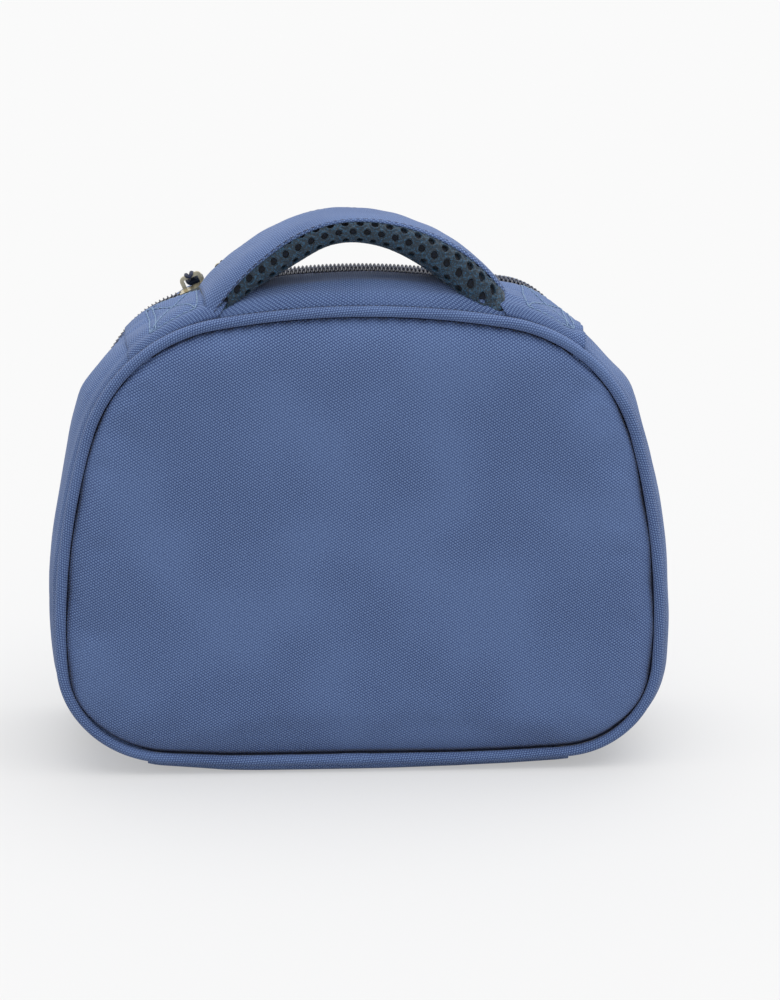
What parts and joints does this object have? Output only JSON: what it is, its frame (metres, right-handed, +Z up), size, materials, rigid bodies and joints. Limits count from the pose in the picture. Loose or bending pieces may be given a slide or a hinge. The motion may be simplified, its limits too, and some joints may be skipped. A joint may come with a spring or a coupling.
{
  "type": "insulated lunch box",
  "caption": "Soft insulated clamshell lunch box with a padded carrying handle and a coil zip closed by opposed sliders; the front half folds down as the lid.",
  "frame": {"origin": "centre of the bounding box's base, on the surface that the box stands on", "axes": "+X to the right across the width with the handle's side panel facing the viewer, +Y from the back panel to the lid's panel, +Z up"},
  "size_m": [0.2558, 0.098, 0.23],
  "materials": {
    "oxford_panel": "600D polyester oxford, dusty steel blue",
    "oxford_gusset": "600D polyester oxford, dusty steel blue",
    "oxford_base": "600D polyester oxford, shaded under the bag",
    "foam": "closed-cell polyethylene foam sheet",
    "lining": "heat-sealed PEVA lining",
    "piping_cord": "solid plastic welt cord",
    "binding": "folded polyester binding tape",
    "zip_tape": "woven polyester zip tape, dark navy",
    "zip_coil": "nylon monofilament coil",
    "air_mesh": "3D spacer mesh, dark teal",
    "webbing": "polypropylene webbing, navy",
    "slider_metal": "zinc die casting with a pale gold plating",
    "pull_cord": "braided nylon cord",
    "pull_grip": "moulded soft PVC"
  },
  "bodies": {
    "case": {"back_panel": "oxford_panel", "back_foam": "foam", "back_lining": "lining", "back_piping": "oxford_gusset", "back_piping_cord": "piping_cord", "back_binding": "binding", "back_gusset": "oxford_gusset", "back_gusset_foam": "foam", "back_gusset_lining": "lining", "back_zip_tape": "zip_tape", "back_zip_coil": "zip_coil", "base_cloth": "oxford_base", "base_foam": "foam", "base_lining": "lining", "handle_cover": "oxford_gusset", "handle_mesh": "air_mesh", "handle_foam": "foam", "handle_webbing": "webbing", "handle_tab_left": "oxford_gusset", "handle_tab_right": "oxford_gusset"},
    "lid": {"front_panel": "oxford_panel", "front_foam": "foam", "front_lining": "lining", "front_piping": "oxford_gusset", "front_piping_cord": "piping_cord", "front_binding": "binding", "front_gusset": "oxford_gusset", "front_gusset_foam": "foam", "front_gusset_lining": "lining", "front_zip_tape": "zip_tape", "front_zip_coil": "zip_coil"},
    "slider_left": {"slider_left": "slider_metal"},
    "slider_right": {"slider_right": "slider_metal"},
    "pull_left": {"pull_cord_left": "pull_cord", "pull_grip_left": "pull_grip"},
    "pull_right": {"pull_cord_right": "pull_cord", "pull_grip_right": "pull_grip"}
  },
  "joints": [
    {"name": "lid_hinge", "type": "hinge", "parent": "case", "child": "lid", "pos_m": [0, 0.045, 0.0054], "axis": [-1, 0, 0], "range_deg": [0, 90]},
    {"name": "slider_left_travel", "type": "hinge", "parent": "lid", "child": "slider_left", "pos_m": [-0.03189, 0, 0.11328], "axis": [0, -1, 0], "range_deg": [0, 45]},
    {"name": "slider_right_travel", "type": "hinge", "parent": "lid", "child": "slider_right", "pos_m": [0, 0, -0.07233], "axis": [0, 1, 0], "range_deg": [0, 22]},
    {"name": "pull_left_swing", "type": "hinge", "parent": "slider_left", "child": "pull_left", "pos_m": [-0.06877, 0, 0.19991], "axis": [0.9201, 0, 0.3917], "range_deg": [0, 95]},
    {"name": "pull_right_swing", "type": "hinge", "parent": "slider_right", "child": "pull_right", "pos_m": [-0.05412, 0, 0.20492], "axis": [0.9815, 0, 0.1916], "range_deg": [0, 95]}
  ]
}
